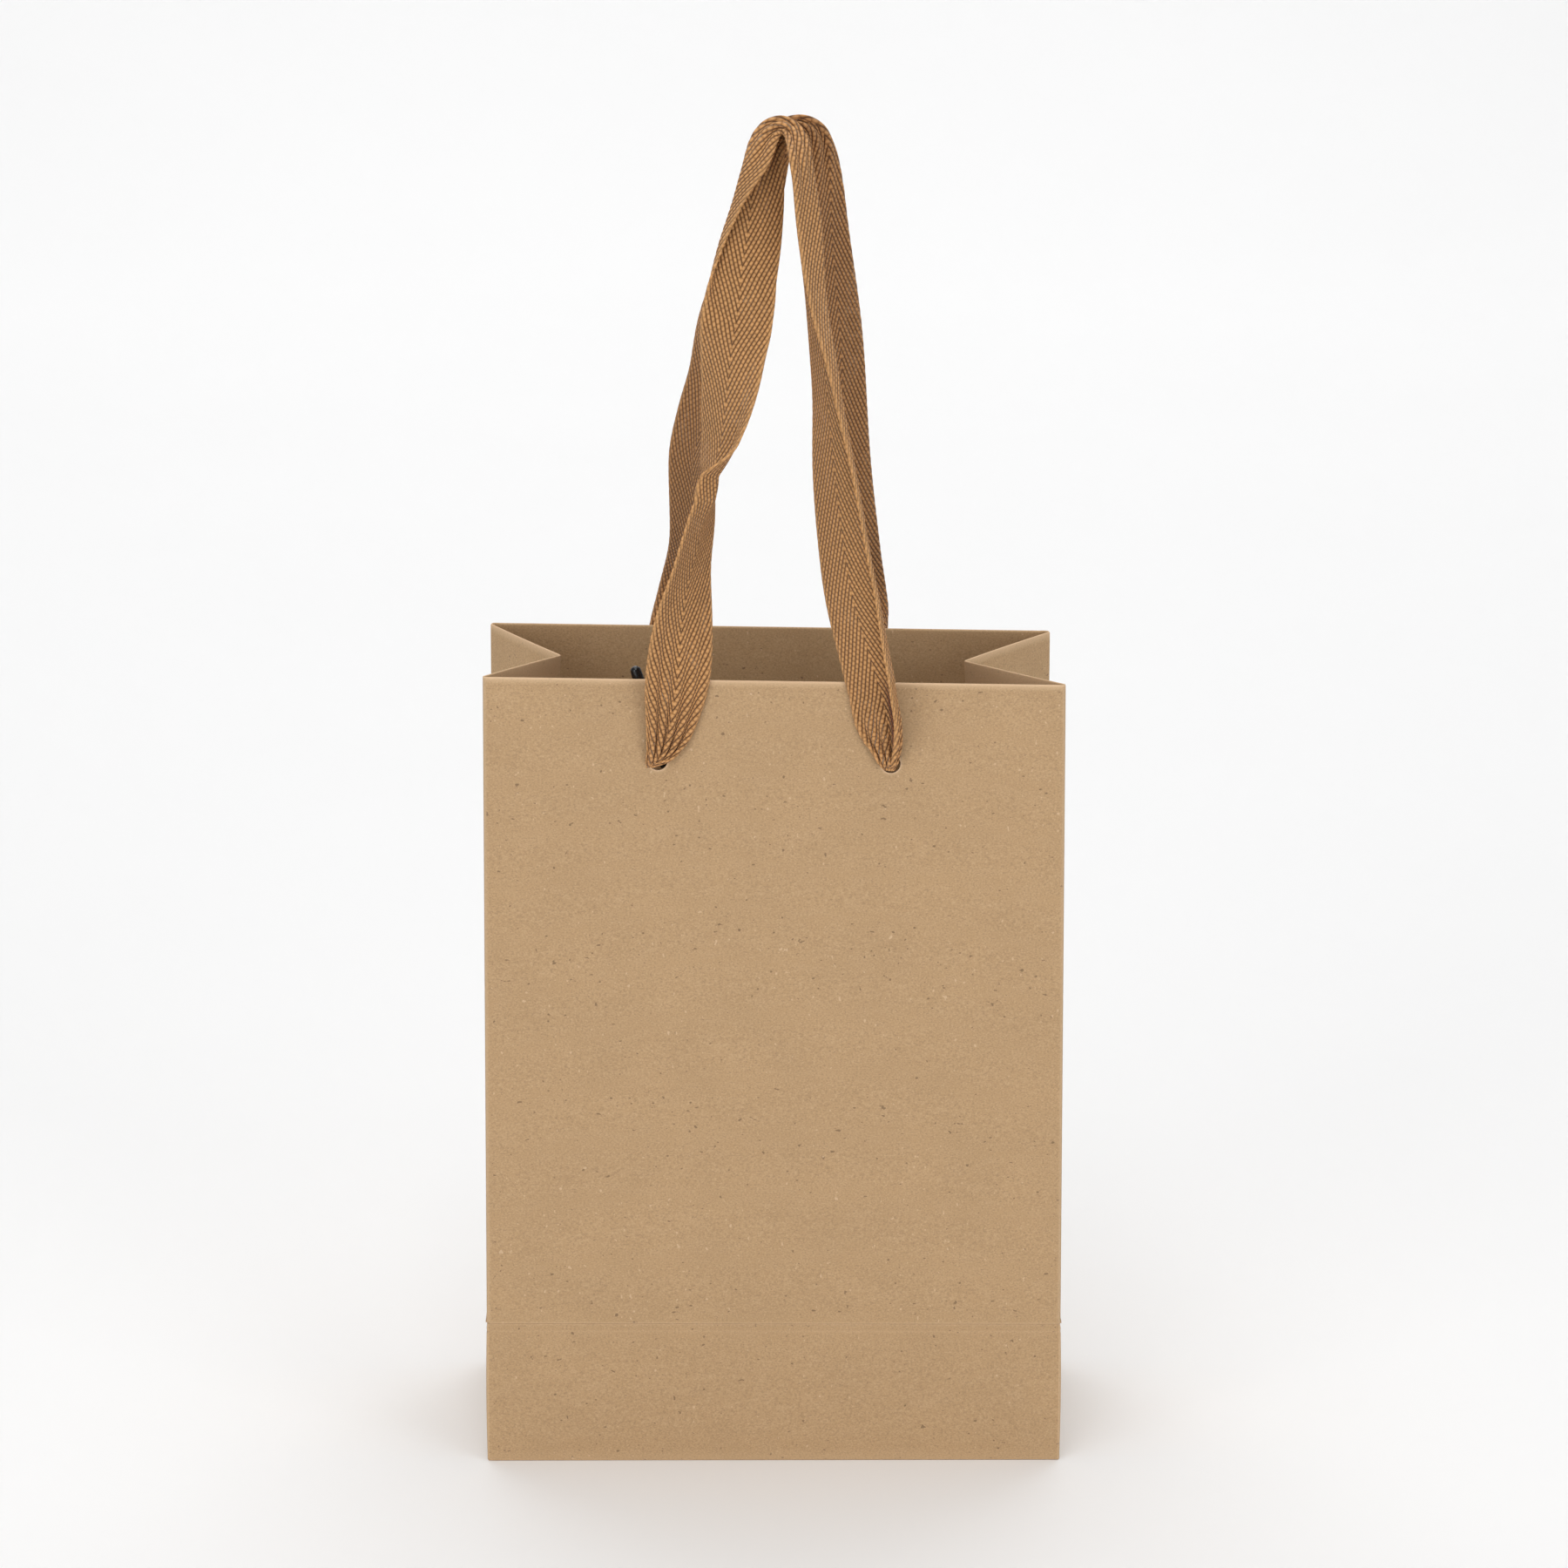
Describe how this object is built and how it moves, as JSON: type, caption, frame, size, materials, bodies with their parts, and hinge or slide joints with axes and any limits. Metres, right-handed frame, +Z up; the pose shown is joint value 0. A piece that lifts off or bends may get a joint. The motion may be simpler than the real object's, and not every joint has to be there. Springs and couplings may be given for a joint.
{
  "type": "gift bag",
  "caption": "Upright kraft paper gift bag with folded side gussets, turned top edge, card base and woven tape handles held by toggles.",
  "frame": {"origin": "centre of the base, on the surface that the bag stands on", "axes": "+Z up through the mouth, front panel faces -Y, +X along the panel's width to the right seen from the front"},
  "size_m": [0.15, 0.08, 0.3509],
  "materials": {
    "kraft_paper": "matte",
    "kraft_inside": "matte",
    "card": "matte",
    "cotton_tape": "matte",
    "black_plastic": "glossy"
  },
  "bodies": {
    "base": {"front_lower_band": "kraft_paper", "back_lower_band": "kraft_paper", "left_lower_band": "kraft_paper", "right_lower_band": "kraft_paper", "bottom_back_flap": "kraft_inside", "bottom_front_flap": "kraft_inside", "bottom_left_flap": "kraft_inside", "bottom_right_flap": "kraft_inside", "base_card": "card", "seam_lap_lower": "kraft_inside", "left_gusset_gore": "kraft_paper", "right_gusset_gore": "kraft_paper"},
    "front_side": {"front_panel": "kraft_paper", "front_hem": "kraft_inside", "front_stiffener": "card", "front_left_toggle": "black_plastic", "front_right_toggle": "black_plastic", "front_left_tail": "cotton_tape", "front_right_tail": "cotton_tape"},
    "back_side": {"back_panel": "kraft_paper", "back_hem": "kraft_inside", "back_stiffener": "card", "seam_lap_upper": "kraft_inside", "back_left_toggle": "black_plastic", "back_right_toggle": "black_plastic", "back_left_tail": "cotton_tape", "back_right_tail": "cotton_tape"},
    "left_front_fold": {"left_front_gusset": "kraft_paper", "left_front_gusset_hem": "kraft_inside"},
    "right_front_fold": {"right_front_gusset": "kraft_paper", "right_front_gusset_hem": "kraft_inside"},
    "left_back_fold": {"left_back_gusset": "kraft_paper", "left_back_gusset_hem": "kraft_inside"},
    "right_back_fold": {"right_back_gusset": "kraft_paper", "right_back_gusset_hem": "kraft_inside"},
    "front_necks": {"front_tape_necks": "cotton_tape"},
    "back_necks": {"back_tape_necks": "cotton_tape"},
    "front_handle": {"front_handle": "cotton_tape"},
    "back_handle": {"back_handle": "cotton_tape"}
  },
  "joints": [
    {"name": "mouth_front", "type": "hinge", "parent": "base", "child": "front_side", "pos_m": [0, -0.04, 0.038], "axis": [-1, 0, 0], "range_deg": [0, 10.2], "stiffness_Nm_per_rad": 0.3, "springref_deg": -1.15},
    {"name": "mouth_back", "type": "hinge", "parent": "base", "child": "back_side", "pos_m": [0, 0.04, 0.038], "axis": [1, 0, 0], "range_deg": [0, 10.2]},
    {"name": "fold_left_front", "type": "hinge", "parent": "front_side", "child": "left_front_fold", "pos_m": [-0.075, -0.03507, 0.11787], "axis": [0, -0.0366, -0.9993], "range_deg": [0, 54.6]},
    {"name": "fold_right_front", "type": "hinge", "parent": "front_side", "child": "right_front_fold", "pos_m": [0.075, -0.03507, 0.11787], "axis": [0, 0.0366, 0.9993], "range_deg": [0, 54.6]},
    {"name": "fold_left_back", "type": "hinge", "parent": "back_side", "child": "left_back_fold", "pos_m": [-0.075, 0.03507, 0.11787], "axis": [0, -0.0366, 0.9993], "range_deg": [0, 54.6]},
    {"name": "fold_right_back", "type": "hinge", "parent": "back_side", "child": "right_back_fold", "pos_m": [0.075, 0.03507, 0.11787], "axis": [0, 0.0366, -0.9993], "range_deg": [0, 54.6]},
    {"name": "front_neck_turn", "type": "hinge", "parent": "front_side", "child": "front_necks", "pos_m": [0, -0.03388, 0.18988], "axis": [1, 0, 0], "range_deg": [0, 20]},
    {"name": "back_neck_turn", "type": "hinge", "parent": "back_side", "child": "back_necks", "pos_m": [0, 0.03388, 0.18988], "axis": [-1, 0, 0], "range_deg": [0, 20]},
    {"name": "front_handle_swing", "type": "hinge", "parent": "front_necks", "child": "front_handle", "pos_m": [0, -0.03663, 0.18998], "axis": [1, 0, 0], "range_deg": [0, 165]},
    {"name": "back_handle_swing", "type": "hinge", "parent": "back_necks", "child": "back_handle", "pos_m": [0, 0.03663, 0.18998], "axis": [-1, 0, 0], "range_deg": [0, 165]}
  ],
  "couplings": [
    {"joint": "mouth_back", "follows": "mouth_front", "ratio": 1},
    {"joint": "fold_left_front", "follows": "mouth_front", "ratio": 5.35},
    {"joint": "fold_right_front", "follows": "mouth_front", "ratio": 5.35},
    {"joint": "fold_left_back", "follows": "mouth_front", "ratio": 5.35},
    {"joint": "fold_right_back", "follows": "mouth_front", "ratio": 5.35},
    {"joint": "front_neck_turn", "follows": "mouth_front", "ratio": 1.95},
    {"joint": "back_neck_turn", "follows": "mouth_front", "ratio": 1.95}
  ]
}
